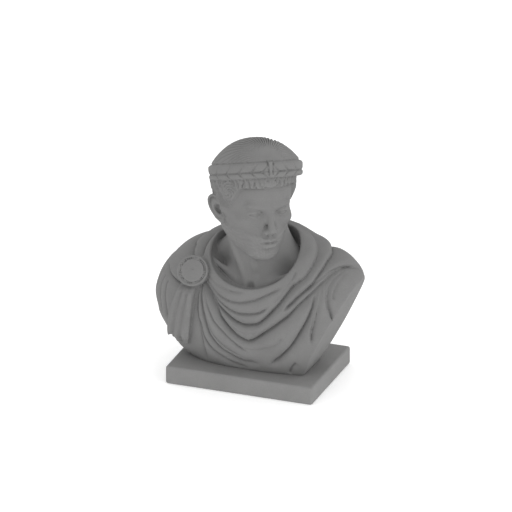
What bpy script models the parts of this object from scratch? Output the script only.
"""Roman emperor bust: a draped bust with a laurel wreath on a low slab plinth.

Two solids: the plinth, and the bust carved from one block. The bust is
described as one smooth field, negative inside the stone, and then skinned.
The figure is laid out in millimetres at its own full height of 567 mm, with
z counted from the top of the plinth, x to the figure's left and y to the
back. Everything on the figure scales with BUST_HEIGHT.
"""
import math
from concurrent.futures import ThreadPoolExecutor

import bpy
import numpy as np

# Sizes in metres
BUST_HEIGHT = 0.567
PLINTH_WIDTH = 0.380
PLINTH_DEPTH = 0.270
PLINTH_HEIGHT = 0.046
PLINTH_EDGE = 0.006
JOINT_GAP = 0.0003
CARVING_GRID = 0.0030
CARVING_FACES = 9500

UNIT = BUST_HEIGHT / 567.0

# The body: widths, front and back at each level, in figure millimetres
RIGHT_LEVELS = (0, 15, 30, 55, 80, 105, 150, 185, 220, 258, 279, 299, 312, 324)
RIGHT_WIDTHS = (162, 186, 201, 219, 237, 250, 260, 254, 238, 198, 163, 127, 98, 60)
LEFT_LEVELS = (0, 100, 200, 240, 260, 278, 295, 308, 324)
LEFT_WIDTHS = (205, 262, 268, 256, 237, 213, 177, 142, 90)
FRONT_LEVELS = (0, 30, 60, 100, 140, 180, 210, 240, 270, 300, 322)
FRONT_REACH = (86, 101, 112, 121, 122, 114, 98, 74, 44, 8, -25)
BACK_LEVELS = (0, 50, 100, 150, 200, 250, 280, 300, 324)
BACK_REACH = (45, 78, 103, 118, 127, 126, 120, 114, 92)
BODY_SQUARENESS = 2.35
BODY_TOP = 323.0

# The neck opening of the cloak: a ring that leans forward, and the roll of
# cloth that stands behind the neck
COLLAR_CENTRE = (-4.0, 6.0, 264.0)
COLLAR_LEAN = 28.0
COLLAR_RADIUS = 111.0
COLLAR_DEPTH = 66.0
COLLAR_RISE = 22.0
COLLAR_ROLL = ((122, -6, 270), (126, 32, 281), (96, 85, 297), (20, 112, 306), (-70, 94, 302),
               (-108, 34, 286))
COLLAR_ROLL_SIZE = (13, 17, 17, 15, 13, 12)
FOLD_CENTRE_DEPTH = 130.0

# The flat cut of the left arm
ARM_CUT_POINT = (146.5, -30.0, 0.0)
ARM_CUT_FACING = (0.904, -0.05, -0.425)

# The head: ear level centre, turned to the figure's left
HEAD_CENTRE = (-19.0, 14.0, 394.0)
HEAD_TURN = 45.0
HEAD_TILT = 4.0
HEAD_SCALE = (1.17, 1.10, 1.06)
WREATH_SCALE = 1.06

# The ears, eyes and beard, in head millimetres
EAR_CENTRE = (73.0, 6.0, -2.0)
EAR_SCALE = 1.12
EYE_CENTRE = (30.0, -73.5, 13.0)
EYE_SIZE = 12.3
LID_OPEN = (5.0, 3.6)
BEARD_FULLNESS = 3.2

# Creases in the cloak. Each is laid out round the neck: degrees round from
# the front (left shoulder positive) and degrees down from the neck's axis,
# then its depth and how far it eases out above and below, in millimetres.
CREASES = (
    (((-56, 44), (-44, 44.6), (-33, 44.2), (-21, 43.6), (-9, 43.2), (4, 41.6)), 3.0, 3, 5),
    (((-56, 45), (-45, 47.6), (-33, 49.4), (-23, 50.5), (-13, 51.2), (-4, 51), (5, 49.7), (17, 47.7),
      (29, 45.4), (42, 44.1), (55, 43.5)), 7.5, 7, 6),
    (((-57, 46), (-47, 49.8), (-35, 52.3), (-25, 54.1), (-15, 56.8), (-7, 58.6), (1, 59.3), (10, 58.8),
      (18, 57.8), (24, 55.5), (32, 51.4)), 10, 8, 7),
    (((-57, 46), (-46, 50.6), (-26, 57.7), (-18.5, 60.6), (-11, 63.9), (-4, 67), (3, 68.7), (9, 68.3),
      (16, 67), (24, 62.2), (32, 57.4), (40, 53.6), (50, 49.6), (58, 47.6), (66, 47.6),
      (76, 48.2)), 18, 13, 8),
    (((-24, 58), (-13, 61.7), (-2, 63.8), (9, 66)), 4, 2, 12),
    (((60, 47.5), (73, 47.8), (93, 46.8), (108, 46.3), (122, 45.5), (150, 48)), 14, 13, 11),
    (((72, 40), (59.5, 42.9), (48.6, 46.3), (40, 50), (30, 53.5)), 5, 6, 6),
    (((-57, 46), (-46, 51.4), (-33, 55.9), (-24, 61), (-17, 67.5), (-10, 73.8), (-4, 78.6), (2.4, 81.7),
      (7, 82.3), (13, 79.2), (21, 74.1), (28, 70.1), (35, 66.5), (42, 63.7), (49, 60.8),
      (59, 58.4), (67, 57.5), (76, 57.2), (85, 58.2), (92, 61), (97, 66), (101, 74)), 19, 13, 8),
    (((-20, 65.5), (-11.4, 71.1), (-6, 75), (2, 77.7)), 6, 4, 5),
    (((-11, 70.5), (2.7, 74.5), (17, 73.5)), 4, 2.5, 10),
    (((18, 71.8), (27, 69), (37, 65)), 3, 2.5, 8),
    (((36, 60), (46, 57.2), (54, 55.1), (62, 54.2), (70, 53.8), (82, 52.9), (94, 53.4),
      (104, 55.9), (122, 60), (140, 68)), 18, 8, 13),
    (((38, 60), (42, 57.5), (50, 54.4), (58, 52.7), (63, 52)), 3.5, 4, 4),
    (((-57, 46), (-46, 52.2), (-35, 58.8), (-27, 65), (-21.5, 71), (-14, 76.7), (-7, 82.4), (0, 87.8),
      (8, 91.5)), 8, 8, 7),
    (((-57, 47), (-46, 54), (-30, 68), (-24, 76), (-17, 84), (-8, 91), (2, 96)), 4, 6, 5),
    (((-57, 47), (-47, 53.2), (-33, 65.7), (-26.3, 76.7), (-20.3, 86), (-14.3, 92), (-7.5, 96.2), (0, 100),
      (7.3, 99.7), (14, 99)), 10, 8, 7),
    (((-34, 72), (-31, 76), (-26.5, 86), (-21, 94), (-12.6, 99.8), (-4, 104), (5, 105)), 8, 6, 6),
    (((-57, 47), (-48, 53.4), (-36, 67), (-31, 78), (-28, 89), (-26.5, 97), (-25.8, 107)), 8, 3, 30),
    (((69, 57), (61.3, 61.5), (54, 66.8), (47.4, 72.3), (40.7, 79), (34.7, 85.4), (30, 90.4),
      (24.6, 95.6), (18, 100)), 15, 6, 9),
    (((75, 57), (67.4, 60.2), (60.8, 64.5), (55.3, 69.7), (49.7, 77.1), (46, 84)), 8, 5, 5),
    (((70, 57), (61, 62.9), (54, 69.2), (47, 80)), 6, 4, 4),
    (((36, 95.4), (32.7, 99.7), (30.5, 105)), 5, 5, 5),
    (((92, 61.5), (88, 61), (83.9, 59.8), (78.6, 59.4), (73, 61), (67.2, 64.9), (64, 70.4),
      (62.5, 76), (63, 82)), 10, 4, 9),
    (((91, 63.2), (82, 61.4), (76, 62.3), (72, 63.8), (69, 66.4)), 6, 3.5, 7),
    (((84, 58.5), (78, 58), (72.7, 59.4), (68.5, 62.3), (65.2, 65.7), (62.8, 71)), 6, 4, 4),
    (((56, 59), (66, 58), (76, 57.6), (87, 59.3), (97, 65)), 7, 2.5, 34),
    (((33, 76), (24, 83), (12, 87), (0, 88)), 3.5, 14, 12),
    (((-135, 44), (-110, 42), (-92, 43.5), (-76, 44)), 8, 7, 8),
    (((-125, 55), (-100, 54), (-80, 52)), 8, 9, 9),
    (((-74, 64), (-66, 69), (-57, 76)), 3, 10, 10),
    (((-78, 68), (-67, 74), (-58, 84)), 3, 10, 10),
    (((-100, 68), (-84, 66), (-76, 65), (-67, 63), (-58, 60)), 6, 2.5, 22),
)
BACK_FOLDS = 4
VALLEY_ROUND = 2.6
CREASE_START = 0.10
CREASE_END = 0.14
CREASE_BLEND = 2.2

# The brooch on the right shoulder
BROOCH_CENTRE = (-139.0, -83.0, 241.0)
BROOCH_FACING = (0.0884, -0.8132, 0.5767)
BROOCH_RADIUS = 39.0
BROOCH_THICKNESS = 17.0
BROOCH_BEADS = 28
BEAD_SIZE = 2.6

# The wreath: a sloping ring on the head, in head millimetres
WREATH_CENTRE = (4.0, 3.0, 79.0)
WREATH_FACING = (0.047, 0.4217, 1.0)
WREATH_HALF_WIDTH = 103.0
WREATH_HALF_LENGTH = 116.0
WREATH_UPPER_ROW = 23.0
WREATH_LOWER_ROW = 15.0
WREATH_SWELL = 1.8
WREATH_BACKING = 16.0
ORNAMENT_TURN = -8.0
LEAF_STEP = 9.2
LEAF_GROWTH = 1.3
CROWN_RISE = 75.0
CROWN_STRANDS = 29

# The hair below the wreath: a close cap with locks laid over it
CAP_WIDTH = 83.0
CAP_LENGTH = 101.0
CAP_MIDDLE = 6.0
FRINGE_LOCKS = 17
FRINGE_LENGTH = 27.0
SIDE_ROWS = 8
ROW_STEP = 13.0
TURN_STEP = 10.0
LOCK_WIDTH = 5.6


def length(v):
    return np.sqrt(np.einsum("ij,ij->i", v, v))


def join(a, b, soft):
    """Union of two fields with a soft seam."""
    h = np.clip(0.5 + 0.5 * (b - a) / soft, 0, 1)
    return b + (a - b) * h - soft * h * (1 - h)


def carve(a, b, soft):
    """Take shape b out of shape a."""
    return -join(-a, b, soft)


def ball(p, centre, radii, axes=None):
    q = p - np.asarray(centre, np.float32)
    if axes is not None:
        q = q @ np.asarray(axes, np.float32)
    r = np.asarray(radii, np.float32)
    q = q / r
    k = length(q)
    return k * (k - 1) / np.maximum(length(q / r), 1e-6)


def rod(p, a, b, ra, rb):
    a = np.asarray(a, np.float32)
    b = np.asarray(b, np.float32)
    along = b - a
    q = p - a
    t = np.clip(q @ along / float(along @ along), 0, 1)
    return length(q - t[:, None] * along) - (ra + (rb - ra) * t)


def tube(p, path, radii):
    d = np.full(len(p), 1e3, np.float32)
    for i in range(len(path) - 1):
        d = np.minimum(d, rod(p, path[i], path[i + 1], radii[i], radii[i + 1]))
    return d


def near_box(p, low, high, margin):
    low = np.asarray(low, np.float32) - margin
    high = np.asarray(high, np.float32) + margin
    return np.flatnonzero(((p > low) & (p < high)).all(1))


def smooth_through(points, steps):
    """A smooth open curve through a few points."""
    k = np.asarray(points, float)
    k = np.vstack([2 * k[0] - k[1], k, 2 * k[-1] - k[-2]])
    out = []
    for i in range(1, len(k) - 2):
        a, b, c, d = k[i - 1:i + 3]
        for t in np.arange(steps) / steps:
            out.append(0.5 * (2 * b + (c - a) * t + (2 * a - 5 * b + 4 * c - d) * t * t
                              + (3 * b - a - 3 * c + d) * t ** 3))
    out.append(k[-2])
    return np.array(out)


def profile(z, levels, values):
    """Smooth steady curve through values at given levels."""
    k = np.asarray(levels, float)
    v = np.asarray(values, float)
    h = np.diff(k)
    s = np.diff(v) / h
    m = np.zeros(len(k))
    m[0] = s[0]
    m[-1] = s[-1]
    for i in range(1, len(k) - 1):
        if s[i - 1] * s[i] > 0:
            m[i] = 2 * s[i - 1] * s[i] / (s[i - 1] + s[i])
    z = np.clip(z, k[0], k[-1])
    i = np.clip(np.searchsorted(k, z, side="right") - 1, 0, len(k) - 2)
    t = (z - k[i]) / h[i]
    u = 1 - t
    curve = (v[i] * (1 + 2 * t) * u ** 2 + m[i] * h[i] * t * u ** 2
             + v[i + 1] * t * t * (3 - 2 * t) - m[i + 1] * h[i] * t * t * u)
    return curve.astype(np.float32)


def unit(v):
    v = np.asarray(v, float)
    return v / np.linalg.norm(v)


def smooth_rod(p, points, radii):
    path = smooth_through(points, 4)
    r = np.interp(np.arange(len(path)) / 4.0, np.arange(len(radii)), radii)
    return tube(p, path, r)


def frame_from(facing, side):
    """Axes as columns: across, along, facing."""
    n = unit(facing)
    y = np.asarray(side, float)
    y = unit(y - n * (n @ y))
    return np.stack([np.cross(y, n), y, n], 1)


COLLAR_AXES = frame_from(
    (0, -math.sin(math.radians(COLLAR_LEAN)), math.cos(math.radians(COLLAR_LEAN))),
    (0, 1, 0))
FOLD_CENTRE = np.array(COLLAR_CENTRE) - FOLD_CENTRE_DEPTH * COLLAR_AXES[:, 2]


def head_axes():
    turn = math.radians(HEAD_TURN)
    tilt = math.radians(HEAD_TILT)
    x = np.array([math.cos(turn), math.sin(turn), 0])
    y = np.array([-math.sin(turn), math.cos(turn), 0])
    z = np.array([0, 0, 1.0])
    return np.stack([x * math.cos(tilt) - z * math.sin(tilt), y,
                     z * math.cos(tilt) + x * math.sin(tilt)], 1)


HEAD_AXES = head_axes()
WREATH_AXES = frame_from(WREATH_FACING, (0, 1, 0))
BROOCH_AXES = frame_from(BROOCH_FACING, (0, 0, 1))


def from_head(q):
    return np.array(HEAD_CENTRE) + (np.asarray(q, float) * HEAD_SCALE) @ HEAD_AXES.T


# The cloak and body

def body_ratio(p):
    x, y, z = p[:, 0], p[:, 1], p[:, 2]
    half = np.where(x < 0, profile(z, RIGHT_LEVELS, RIGHT_WIDTHS),
                    profile(z, LEFT_LEVELS, LEFT_WIDTHS))
    front = -profile(z, FRONT_LEVELS, FRONT_REACH)
    back = profile(z, BACK_LEVELS, BACK_REACH)
    middle = front + 0.54 * (back - front)
    deep = np.where(y < middle, middle - front, back - middle)
    n = BODY_SQUARENESS
    return ((np.abs(x) / half) ** n + (np.abs(y - middle) / deep) ** n) ** (1 / n)


def body(p):
    r = body_ratio(p)
    step = np.eye(3, dtype=np.float32)
    slope = np.stack([body_ratio(p + step[i]) - r for i in range(3)], 1)
    d = np.clip((r - 1) / np.maximum(length(slope), 1e-4), -60, 60)
    return carve(d, BODY_TOP - p[:, 2], 6.0).astype(np.float32)


def round_neck(p):
    """Flat map round the neck's axis: radians down from it, in two directions."""
    e = (p - FOLD_CENTRE.astype(np.float32)) @ COLLAR_AXES.astype(np.float32)
    flat = np.hypot(e[:, 0], e[:, 1])
    down = np.arctan2(flat, e[:, 2])
    scale = down / np.maximum(flat, 1e-3)
    return e[:, 0] * scale, e[:, 1] * scale, length(e)


def on_map(turn, down):
    t = math.radians(turn)
    d = math.radians(down)
    return d * math.sin(t), -d * math.cos(t)


def crease_paths():
    rows = []
    for points, depth, above, below in CREASES:
        path = smooth_through([on_map(*point) for point in points], 5)
        rows.append((path, depth, above, below))
    for k in range(BACK_FOLDS):
        drop = 58 + 12 * k
        low = drop + 20 + 3 * k
        points = ((112, drop - 4), (140, drop + 7), (180, low), (220, drop + 7), (248, drop - 4))
        path = smooth_through([on_map(*point) for point in points], 5)
        rows.append((path, 6.0 - k * 0.7, 12, 12))
    return rows


CREASE_PATHS = crease_paths()


def crease_depth(p):
    """How deep the creases bite at each point, the deeper of two winning."""
    a, b, far = round_neck(p)
    total = np.zeros(len(p), np.float32)
    for path, depth, above, below in CREASE_PATHS:
        reach = 3.2 * max(above, below) / 120
        low = path.min(0) - reach
        high = path.max(0) + reach
        near = np.flatnonzero((a > low[0]) & (a < high[0]) & (b > low[1]) & (b < high[1]))
        if not len(near):
            continue
        x, y, r = a[near], b[near], far[near]
        best = np.full(len(near), 9.0, np.float32)
        side = np.zeros(len(near), np.float32)
        place = np.zeros(len(near), np.float32)
        count = len(path) - 1
        for i in range(count):
            px, py = path[i]
            dx, dy = path[i + 1] - path[i]
            t = np.clip(((x - px) * dx + (y - py) * dy) / (dx * dx + dy * dy), 0, 1)
            ox = x - px - t * dx
            oy = y - py - t * dy
            d = np.hypot(ox, oy)
            closer = d < best
            best = np.where(closer, d, best)
            side = np.where(closer, dx * oy - dy * ox, side)
            place = np.where(closer, (i + t) / count, place)
        d = best * r
        rounded = np.sqrt(d * d + VALLEY_ROUND ** 2) - VALLEY_ROUND
        ease = np.where(side > 0, above, below)
        taper = np.clip(np.minimum(place / CREASE_START, (1 - place) / CREASE_END), 0, 1)
        taper = taper * taper * (3 - 2 * taper)
        total[near] += (taper * depth * np.exp(-rounded / ease)) ** CREASE_BLEND
    return total ** (1 / CREASE_BLEND)


def tail_flap(p, under):
    """The end of the cloak hanging below the brooch, in soft pleats over a lower layer."""
    x, z = p[:, 0], p[:, 2]
    drop = 210.0 - z
    left = -166.0 - 0.38 * drop + 0.0008 * drop ** 2
    right = -126.0 - 0.02 * drop - 0.0005 * drop ** 2
    across = (x - left) / (right - left)
    hem = 62 + 6 * across - 5 * np.cos(across * 14)
    inner = np.minimum(np.minimum(x - left, right - x), z - hem)
    wave = math.pi * (0.12 + 3.0 * np.clip(across, 0, 1) ** 1.1)
    pleat = 4.2 * np.sqrt(np.sin(wave) ** 2 + 0.03)
    rise = np.clip((drop - 2) / 22, 0.1, 1)
    sheet = carve(under - (11.0 + pleat) * rise, 0.9 * inner, 1.5)
    lower = np.minimum(np.minimum(x - left - 12, right - 3 - x), z - hem + 15)
    sheet = np.minimum(sheet, carve(under - (5.5 + 0.5 * pleat) * rise, 0.9 * lower, 1.5))
    return np.where((p[:, 1] < 0) & (drop > -18), sheet, 60.0).astype(np.float32)


def cloak_shape(p):
    base = body(p)
    near = np.flatnonzero(np.abs(base) < 30)
    stone = base.copy()
    if len(near):
        stone[near] += crease_depth(p[near])
    near = near_box(p, (-240, -140, 40), (-115, 0, 245), 5)
    if len(near):
        stone[near] = join(stone[near], tail_flap(p[near], base[near]), 1.0)
    near = near_box(p, (-140, -40, 250), (150, 140, 340), 30)
    if len(near):
        roll = smooth_rod(p[near], COLLAR_ROLL, COLLAR_ROLL_SIZE)
        stone[near] = join(stone[near], roll, 12.0)
    opening_at = np.array(COLLAR_CENTRE) + COLLAR_RISE * COLLAR_AXES[:, 2]
    opening = ball(p, opening_at, (COLLAR_RADIUS, COLLAR_RADIUS, COLLAR_DEPTH), COLLAR_AXES)
    return carve(stone, opening, 8.0)


def brooch(p):
    e = (p - np.array(BROOCH_CENTRE, np.float32)) @ BROOCH_AXES.astype(np.float32)
    out = np.hypot(e[:, 0], e[:, 1])
    t = e[:, 2]
    r = BROOCH_RADIUS
    thick = BROOCH_THICKNESS
    disc = np.maximum(out - r + 1, np.abs(t + 6.5 + thick / 2) - thick / 2)
    rim = np.hypot(out - r + 3.8, 0.8 * (t + 4.2)) - 3.8
    inner = np.hypot(out - r + 15.5, t + 3.4) - 1.9
    dish = np.maximum(out - r + 15, np.abs(t + 6) - 3.6 - 2.0 * np.cos(np.clip(out / 26, 0, 1.5)))
    ring = np.hypot(out - 11.5, t + 1.6) - 1.0
    boss = np.hypot(out, t + 1.6) - 3.2
    angle = np.arctan2(e[:, 0], e[:, 1])
    pitch = 2 * math.pi / BROOCH_BEADS
    off = (angle / pitch - np.round(angle / pitch)) * pitch * (r - 10.2)
    beads = np.sqrt(off ** 2 + (out - r + 10.2) ** 2 + (t + 5.0) ** 2) - BEAD_SIZE
    d = join(disc, rim, 1.0)
    for piece in (inner, dish, ring, boss, beads):
        d = np.minimum(d, piece)
    return d.astype(np.float32)


# Neck and shoulders under the cloak

def neck_shape(p):
    d = ball(p, (0, 16, 108), (186, 103, 142))
    d = join(d, rod(p, (2, 34, 190), (-12, 22, 352), 78, 71), 26)
    for side in (-1, 1):
        d = join(d, rod(p, (-4, 46, 312), (side * 112, 26, 252), 38, 20), 26)
        d = join(d, rod(p, (side * 14 + 4, -47, 206), (side * 118, -18, 252), 6, 7), 16)
        cord = rod(p, from_head((side * 50, 8, -34)), (4 + side * 9, -50, 208), 14, 7)
        d = join(d, cord, 16)
    d = join(d, ball(p, (8, -38, 262), (12, 12, 17)), 12)
    return carve(d, ball(p, (4, -66, 209), (9, 12, 13)), 8)


# The head

def ear_axes():
    up = unit((0.16, 0.20, 0.966))
    back = np.array([0.50, 0.86, -0.12])
    back = unit(back - up * (up @ back))
    return np.stack([back, up, np.cross(back, up)], 1).astype(np.float32)


EAR_AXES = ear_axes()
EAR_RIM = smooth_through(((-5, 0, 2), (-9, 12, 3.5), (-3, 25, 3), (8, 29, 2.5), (18, 22, 2),
                          (20.5, 9, 1.5), (16.5, -7, 1), (8.5, -19, 1), (0, -28, 2),
                          (-7, -27, 2), (-9, -18, 0)), 3)
EAR_FOLD = smooth_through(((6, 19, 2), (11, 10, 2.4), (10, -2, 2.6), (4, -12, 2.6), (-3, -15, 3)), 3)


def ear(m):
    d = np.full(len(m), 60.0, np.float32)
    centre = np.array(EAR_CENTRE, np.float32)
    near = np.flatnonzero(length(m - centre) < 60)
    if not len(near):
        return d
    e = (m[near] - centre) @ EAR_AXES / EAR_SCALE
    s = ball(e, (5, 1, -2), (16.5, 29.5, 5.5))
    s = join(s, rod(e, (-4, -12, -8), (2, 16, -8), 11, 11), 6)
    s = carve(s, ball(e, (1.5, -2, 4.5), (8.5, 12, 8)), 3)
    s = join(s, tube(e, EAR_RIM, np.full(len(EAR_RIM), 2.9)), 1.5)
    s = join(s, ball(e, (-4, -25, 1), (6, 7, 4)), 3)
    s = join(s, tube(e, EAR_FOLD, np.full(len(EAR_FOLD), 2.6)), 2.5)
    s = join(s, ball(e, (-9, -4, 2.5), (3.2, 5.5, 4)), 2.5)
    d[near] = s * EAR_SCALE
    return d


def face(q, m):
    d = ball(q, (0, 4, 52), (75, 96, 84))
    d = join(d, ball(q, (0, -20, 58), (64, 69, 58)), 14)
    d = join(d, ball(q, (0, -25, -10), (66, 63, 79)), 24)
    d = join(d, rod(m, (47, 2, -40), (16, -66, -84), 15, 15), 22)
    d = join(d, ball(q, (0, -70, -50), (33, 28, 32)), 16)
    d = join(d, ball(q, (0, -79, -86), (19, 15, 14)), 10)
    d = join(d, ball(m, (41, -60, -9), (20, 17, 15)), 16)
    d = join(d, rod(m, (48, -54, -3), (66, -8, 3), 5, 5), 16)
    d = join(d, rod(m, (8, -87, 31), (42, -77, 35), 6.5, 5.5), 12)
    d = carve(d, ball(m, (29, -96, 14), (16, 14, 10)), 10)
    d = join(d, rod(q, (0, -84, 22), (0, -107, -19), 5.5, 7.5), 7)
    d = join(d, ball(q, (0, -102, -23), (9, 10, 8.5)), 5)
    d = join(d, rod(q, (0, -90, -26), (0, -91, -42), 9, 10), 6)
    d = join(d, ball(m, (10.5, -96, -27), (6, 9.5, 6.8)), 4.5)
    d = carve(d, ball(m, (6.0, -102, -35), (2.8, 5.0, 3.2)), 1.6)
    upper = smooth_rod(m, ((0, -99, -48.5), (6, -98.6, -47.2), (14, -95, -50.2), (23, -88.5, -54.2)),
                       (4.4, 4.6, 3.6, 1.4))
    lower = smooth_rod(m, ((0, -98.6, -59.2), (10, -96.6, -59.4), (20, -90, -55.8)), (5.4, 4.9, 1.8))
    d = join(d, upper, 2.2)
    d = join(d, lower, 2.6)
    parting = smooth_rod(m, ((0, -104.6, -53.8), (8, -103.2, -53.0), (17, -97, -54.4),
                             (26, -89.5, -55.4)), (1.5, 1.5, 1.5, 1.5))
    d = carve(d, parting, 1.4)
    d = carve(d, rod(q, (0, -105.0, -38), (0, -104.5, -45), 2.0, 2.6), 3)
    d = carve(d, ball(q, (0, -101, -70.5), (14, 7, 5)), 6)
    ex, ey, ez = EYE_CENTRE
    eye = ball(m, (ex, ey, ez), (EYE_SIZE,) * 3)
    lid = ball(m, (ex, ey, ez), (14.8, 14.0, 13.4))
    above, below = LID_OPEN
    t = np.clip(1 - ((m[:, 0] - ex) / 14.5) ** 2, -0.4, 1)
    gap = 0.85 * np.maximum(m[:, 2] - (ez - 0.8 + above * t), (ez - 0.8 - below * t) - m[:, 2])
    d = join(d, carve(lid, gap, 0.6), 4.0)
    return join(d, eye, 0.6)


def beard(q):
    """Extra fullness of a short clipped beard along the jaw, chin and upper lip."""
    x, y, z = q[:, 0], q[:, 1], q[:, 2]
    side = np.abs(x)
    cheek_line = -36 + 0.42 * np.clip(side - 24, 0, 60) - 0.10 * np.clip(side - 24, 0, 60) ** 1.2
    patch = np.clip((cheek_line - z) / 7, 0, 1) * np.clip((-y + 18) / 12, 0, 1)
    lips = np.exp(-((side / 25) ** 4 + ((z + 54) / 9.5) ** 4))
    nose = np.exp(-((side / 17) ** 4 + ((z + 32) / 10) ** 4))
    under = np.clip((z + 112) / 12, 0, 1)
    patch = patch * (1 - lips) * (1 - nose) * under
    return BEARD_FULLNESS * patch


def in_wreath(own):
    e = own / WREATH_SCALE - np.array(WREATH_CENTRE, np.float32)
    return e @ WREATH_AXES.astype(np.float32)


def wreath(e):
    """The band of leaves, the combed crown inside it and the ornament in front."""
    x, y, w = e[:, 0], e[:, 1], e[:, 2]
    half_width, half_length = WREATH_HALF_WIDTH, WREATH_HALF_LENGTH
    ratio = np.hypot(x / half_width, y / half_length)
    out = (ratio - 1) * 107
    turn = np.degrees(np.arctan2(x, -y)) - ORNAMENT_TURN
    turn = np.abs((turn + 180) % 360 - 180)
    step, growth = LEAF_STEP, LEAF_GROWTH
    number = (np.sqrt(step ** 2 + 4 * growth * turn) - step) / (2 * growth)
    size = step + 2 * growth * number
    b = np.abs(w)
    skew = number + 11.0 * (b / 12) ** 0.8 / (size * 1.85)
    part = skew - np.floor(skew)
    stroke = np.minimum(part, 1 - part) * size * 1.85
    fade = np.where(w > 0, np.exp(-b / 10) + 0.14, 0.85)
    leaf = 1.3 * part - 4.2 * fade * np.exp(-(stroke / 2.8) ** 2)
    stem = (1.6 + 2.4 * np.exp(-stroke / 4)) * np.exp(-(b / 3.0) ** 2)
    leaf = leaf - stem * np.clip(turn / 8 - 0.3, 0.2, 1)
    row = np.where(w > 0, WREATH_UPPER_ROW, WREATH_LOWER_ROW)
    swell = WREATH_SWELL * np.sqrt(np.clip(1 - (2 * b / row - 1) ** 2, 0, 1)) + 0.08 * w
    band = np.maximum(out - swell - np.where(out > -6, leaf, 0), b - row + 1.0)
    band = np.maximum(band, -out - WREATH_BACKING)
    spread = np.clip(1 - np.hypot(x / (half_width - 1), y / (half_length - 1)) ** 2.2, 0, 1)
    top = 17 + (CROWN_RISE - 13) * spread ** 0.85
    crown = 0.75 * (w - top)
    start = math.radians(ORNAMENT_TURN)
    fx = x - math.sin(start) * half_width * 0.93
    fy = y + math.cos(start) * half_length * 0.93
    fan = np.arctan2(fx, fy)
    away = np.hypot(fx, fy)
    depth = 2.6 * np.clip((away - 85) / 50, 0, 1)
    crown = crown + depth * (1 - np.abs(np.sin(CROWN_STRANDS * fan)))
    crown = np.maximum(crown, np.maximum(out + 2.0, -w - 12))
    d = join(crown, band, 1.5)
    a = x * math.cos(start) + y * math.sin(start)
    f = -y * math.cos(start) + x * math.sin(start)
    front = math.hypot(half_width * math.sin(start), half_length * math.cos(start))
    groove = 1.6 * np.exp(-((np.abs(a) - 6.2 + 0.07 * (20 - w)) / 1.2) ** 2) * (w > -8) * (f > 0)
    d = d + groove * (out > -12) * (w < 26)
    bar = np.maximum(np.abs(a) - 4.6 + 0.07 * (20 - w), np.abs(w - 8) - 15)
    bar = np.maximum(bar, np.abs(f - front + 5) - 8.0 - 0.12 * w)
    jewel = np.maximum(np.abs(a) + np.abs(w + 9) - 5.6, np.abs(f - front + 4) - 7.5)
    d = join(d, bar, 1.2)
    return join(d, jewel, 1.0)


def cap_reach(z):
    return profile(z, (-62, -30, 0, 30, 60, 85, 110, 126), (0.66, 0.77, 0.85, 0.94, 1, 0.99, 0.96, 0.9))


def on_cap(turn, z, sink):
    t = math.radians(turn)
    r = float(cap_reach(np.array([z]))[0])
    return ((CAP_WIDTH - sink) * r * math.sin(t),
            CAP_MIDDLE - (CAP_LENGTH - sink) * r * math.cos(t), z)


def band_edge(turn):
    """Height of the wreath's lower edge over the cap."""
    y = CAP_MIDDLE - CAP_LENGTH * math.cos(math.radians(turn))
    return 79 - 0.4217 * (y - 3) - 0.04 * 80 * math.sin(math.radians(turn)) - 14


def hair_end(turn):
    """Height of the hair's lower edge."""
    return float(np.interp(abs(turn), (0, 52, 62, 72, 84, 96, 112, 150, 180),
                           (80, 66, 44, 18, -22, 6, -38, -52, -58)))


def arc_lock(turn, z, heading, bend, long, wide, sink):
    """A lock that starts at (turn, z) on the cap, heads off and bends as it goes."""
    rows = []
    steps = 6
    for i in range(steps + 1):
        rows.append(on_cap(turn, z, sink))
        h = math.radians(heading + bend * i / steps)
        turn += math.degrees(math.cos(h) * long / steps / 92.0)
        z += math.sin(h) * long / steps
    path = smooth_through(rows, 2)
    s = np.linspace(0, 1, len(path))
    return path, wide * np.interp(s, (0, 0.3, 0.7, 1), (0.85, 1.0, 0.66, 0.16))


def lay_locks():
    """Locks over the forehead, then rows of them down the sides and nape."""
    locks = []
    count = FRINGE_LOCKS
    for k in range(count):
        turn = -54 + 108 * k / (count - 1)
        curl = -1 if turn < -9 else 1
        start = band_edge(turn) + 3
        long = FRINGE_LENGTH * (0.94 + 0.10 * math.sin(2.3 * k)) - 0.06 * abs(turn)
        locks.append(arc_lock(turn, start, -90 - 50 * curl, 104 * curl, long, 1.12 * LOCK_WIDTH, 0.6))
    for side in (-1, 1):
        for row in range(SIDE_ROWS):
            turn = 66 + (row % 2) * TURN_STEP / 2
            while turn <= 180:
                start = band_edge(side * turn) + 5 - row * ROW_STEP + 2 * math.sin(turn * 0.4 + row)
                over_ear = 66 < turn < 106 and start < 46
                if start > hair_end(turn) + 16 and not over_ear:
                    heading = -118 if turn < 100 else -100
                    bend = 75 if (row + int(turn / TURN_STEP)) % 3 else -50
                    a, b = (heading, bend) if side > 0 else (-180 - heading, -bend)
                    locks.append(arc_lock(side * turn, start, a, b, 23, LOCK_WIDTH, 3.6))
                turn += TURN_STEP
    return locks


HAIR_LOCKS = lay_locks()


def lock_shape(q):
    d = np.full(len(q), 60.0, np.float32)
    for path, radii in HAIR_LOCKS:
        near = near_box(q, path.min(0), path.max(0), 9)
        if len(near):
            d[near] = np.minimum(d[near], tube(q[near], path, radii))
    return d


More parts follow.
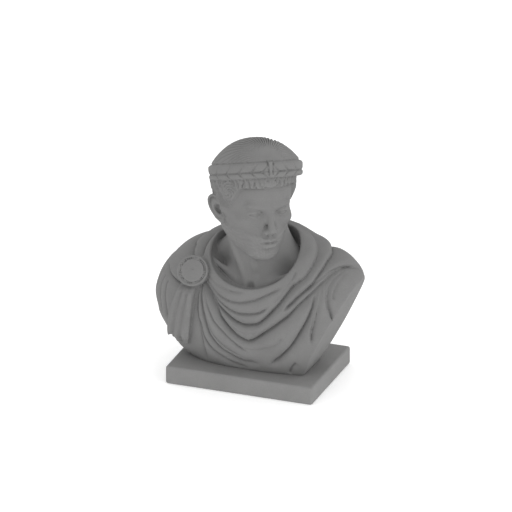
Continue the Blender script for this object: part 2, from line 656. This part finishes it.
def hair(q, w):
    """Hair below the wreath: fringe, sides, sideburns and nape."""
    z = q[:, 2]
    r = cap_reach(z)
    wide = CAP_WIDTH * r
    long = CAP_LENGTH * r
    ratio = np.hypot(q[:, 0] / wide, (q[:, 1] - CAP_MIDDLE) / long)
    d = (ratio - 1) * 0.92 * np.minimum(wide, long)
    strand = np.abs(np.sin(0.30 * q[:, 1] - 0.10 * z + 1.3 * np.sin(0.16 * q[:, 1] + 0.11 * z)))
    d = d + 1.6 * (1 - strand) - 0.6
    edge = profile(z, (-30, -14, 10, 30, 50, 68, 78, 84), (-2, -12, -24, -40, -52, -60, -78, -140))
    d = carve(d, 0.9 * (q[:, 1] - edge), 2.5)
    low = profile(q[:, 1], (-30, -8, 12, 24, 60, 100), (-24, -24, 14, -30, -52, -58))
    d = carve(d, z - low, 5)
    d = np.minimum(d, lock_shape(q))
    return np.maximum(d, w)


def head_shape(p):
    own = (p - np.array(HEAD_CENTRE, np.float32)) @ HEAD_AXES.astype(np.float32)
    q = own / np.array(HEAD_SCALE, np.float32)
    m = q.copy()
    m[:, 0] = np.abs(m[:, 0])
    e = in_wreath(own)
    d = face(q, m) - beard(q)
    d = join(d, hair(q, e[:, 2]), 1.5)
    d = join(d, ear(m), 1.5)
    return np.minimum(HEAD_SCALE[2] * d, WREATH_SCALE * wreath(e))


def bust_field(p):
    d = cloak_shape(p)
    d = join(d, neck_shape(p), 1.5)
    near = near_box(p, (-230, -60, 195), (-70, 60, 290), 60)
    if len(near):
        d[near] = join(d[near], brooch(p[near]), 1.0)
    near = np.flatnonzero(p[:, 2] > 270)
    if len(near):
        d[near] = join(d[near], head_shape(p[near]), 6.0)
    facing = unit(ARM_CUT_FACING).astype(np.float32)
    cut = (p - np.array(ARM_CUT_POINT, np.float32)) @ facing
    d = carve(d, -cut, 2.5)
    return carve(d, p[:, 2], 0.5).astype(np.float32)


# Skinning the field
FIELD_LOW = np.array((-285.0, -145.0, -9.0))
FIELD_HIGH = np.array((300.0, 150.0, 575.0))
CORNERS = np.array([(i, j, k) for i in (0, 1) for j in (0, 1) for k in (0, 1)])


def pieces_of(members):
    """How many groups a set of cube corners falls into."""
    left = set(members)
    groups = 0
    while left:
        groups += 1
        stack = [left.pop()]
        while stack:
            here = stack.pop()
            for other in list(left):
                if np.abs(CORNERS[here] - CORNERS[other]).sum() == 1:
                    left.remove(other)
                    stack.append(other)
    return groups


def torn_cells():
    """Corner patterns that would pinch the surface."""
    torn = np.zeros(256, bool)
    for code in range(1, 255):
        inside = [i for i in range(8) if code >> i & 1]
        outside = [i for i in range(8) if not code >> i & 1]
        torn[code] = pieces_of(inside) > 1 or pieces_of(outside) > 1
    return torn


def sample(field, cell):
    count = np.ceil((FIELD_HIGH - FIELD_LOW) / cell).astype(int) + 1
    axes = [(FIELD_LOW[i] + cell * np.arange(count[i])).astype(np.float32) for i in range(3)]
    y, z = np.meshgrid(axes[1], axes[2], indexing="ij")

    def slab(x):
        points = np.stack([np.full(y.size, x, np.float32), y.ravel(), z.ravel()], 1)
        return field(points).reshape(y.shape)

    with ThreadPoolExecutor(4) as pool:
        return np.stack(list(pool.map(slab, axes[0])))


def corner_codes(values):
    n = np.array(values.shape) - 1
    code = np.zeros(n, np.int32)
    for bit, (i, j, k) in enumerate(CORNERS):
        code |= (values[i:i + n[0], j:j + n[1], k:k + n[2]] < 0).astype(np.int32) << bit
    return code


def close_pinches(values, cell):
    torn = torn_cells()
    for _ in range(40):
        bad = np.argwhere(torn[corner_codes(values)])
        if not len(bad):
            break
        for offset in CORNERS:
            i, j, k = (bad + offset).T
            values[i, j, k] = np.minimum(values[i, j, k], -0.05 * cell)
    return values


def skin(values, cell):
    """One point in each cell the surface crosses, joined into four-sided faces."""
    codes = corner_codes(values)
    cells = np.argwhere((codes > 0) & (codes < 255))
    number = np.full(codes.shape, -1)
    number[tuple(cells.T)] = np.arange(len(cells))
    at = [values[tuple((cells + c).T)] for c in CORNERS]
    total = np.zeros((len(cells), 3))
    hits = np.zeros(len(cells))
    for a in range(8):
        for b in range(a + 1, 8):
            if np.abs(CORNERS[a] - CORNERS[b]).sum() != 1:
                continue
            hit = (at[a] < 0) != (at[b] < 0)
            t = np.clip(at[a] / np.where(hit, at[a] - at[b], 1), 0.03, 0.97)
            point = CORNERS[a] + t[:, None] * (CORNERS[b] - CORNERS[a])
            total += np.where(hit[:, None], point, 0)
            hits += hit
    points = FIELD_LOW + cell * (cells + total / hits[:, None])
    inside = values < 0
    faces = []
    for axis in range(3):
        one = (axis + 1) % 3
        two = (axis + 2) % 3
        near = [slice(None)] * 3
        far = [slice(None)] * 3
        near[axis] = slice(0, -1)
        far[axis] = slice(1, None)
        edge = np.argwhere(inside[tuple(near)] != inside[tuple(far)])
        ring = []
        for back_one, back_two in ((1, 1), (0, 1), (0, 0), (1, 0)):
            spot = edge.copy()
            spot[:, one] -= back_one
            spot[:, two] -= back_two
            ring.append(number[tuple(spot.T)])
        ring = np.stack(ring, 1)
        outward = inside[tuple(edge.T)]
        faces.append(np.where(outward[:, None], ring, ring[:, ::-1]))
    return points, np.concatenate(faces)


def largest_shell(points, faces):
    """Keep only the outer stone, dropping crumbs and sealed pockets."""
    label = np.arange(len(points))
    for _ in range(400):
        low = label[faces].min(1)
        fresh = label.copy()
        np.minimum.at(fresh, faces.ravel(), np.repeat(low, 4))
        fresh = fresh[fresh]
        if (fresh == label).all():
            break
        label = fresh
    keep = label == np.bincount(label).argmax()
    order = np.cumsum(keep) - 1
    return points[keep], order[faces[keep[faces[:, 0]]]]


# Building
def stone_material(name, shade):
    material = bpy.data.materials.new(name)
    material.use_nodes = True
    shader = material.node_tree.nodes["Principled BSDF"]
    shader.inputs["Base Color"].default_value = (shade, shade, shade, 1)
    shader.inputs["Roughness"].default_value = 0.85
    return material


def mesh_object(name, points, faces, home):
    mesh = bpy.data.meshes.new(name)
    mesh.vertices.add(len(points))
    mesh.vertices.foreach_set("co", points.astype(np.float32).ravel())
    mesh.loops.add(faces.size)
    mesh.loops.foreach_set("vertex_index", faces.astype(np.int32).ravel())
    mesh.polygons.add(len(faces))
    mesh.polygons.foreach_set("loop_start", np.arange(0, faces.size, 4, dtype=np.int32))
    mesh.update(calc_edges=True)
    thing = bpy.data.objects.new(name, mesh)
    home.objects.link(thing)
    return thing


def make_plinth(home):
    x = PLINTH_WIDTH / 2
    y = PLINTH_DEPTH / 2
    points = np.array([(sx * x, sy * y, z) for z in (0, PLINTH_HEIGHT)
                       for sx, sy in ((-1, -1), (1, -1), (1, 1), (-1, 1))])
    faces = np.array([(3, 2, 1, 0), (4, 5, 6, 7), (0, 1, 5, 4), (1, 2, 6, 5), (2, 3, 7, 6), (3, 0, 4, 7)])
    plinth = mesh_object("plinth", points, faces, home)
    plinth.data.materials.append(stone_material("plinth stone", 0.24))
    edge = plinth.modifiers.new("rounded edges", "BEVEL")
    edge.width = PLINTH_EDGE
    edge.segments = 3
    edge.limit_method = "ANGLE"
    return plinth


def make_bust(home):
    cell = CARVING_GRID / UNIT
    values = close_pinches(sample(bust_field, cell), cell)
    points, faces = largest_shell(*skin(values, cell))
    points = points * UNIT
    points[:, 2] += PLINTH_HEIGHT + JOINT_GAP - points[:, 2].min()
    bust = mesh_object("bust", points, faces, home)
    bust.data.materials.append(stone_material("bust stone", 0.22))
    thin = bust.modifiers.new("fewer faces", "DECIMATE")
    thin.ratio = min(1.0, CARVING_FACES / (2.0 * len(faces)))
    thin.use_collapse_triangulate = True
    return bust


def main():
    for thing in list(bpy.data.objects):
        bpy.data.objects.remove(thing)
    home = bpy.data.collections.new("roman_emperor_bust")
    bpy.context.scene.collection.children.link(home)
    make_plinth(home)
    make_bust(home)


main()
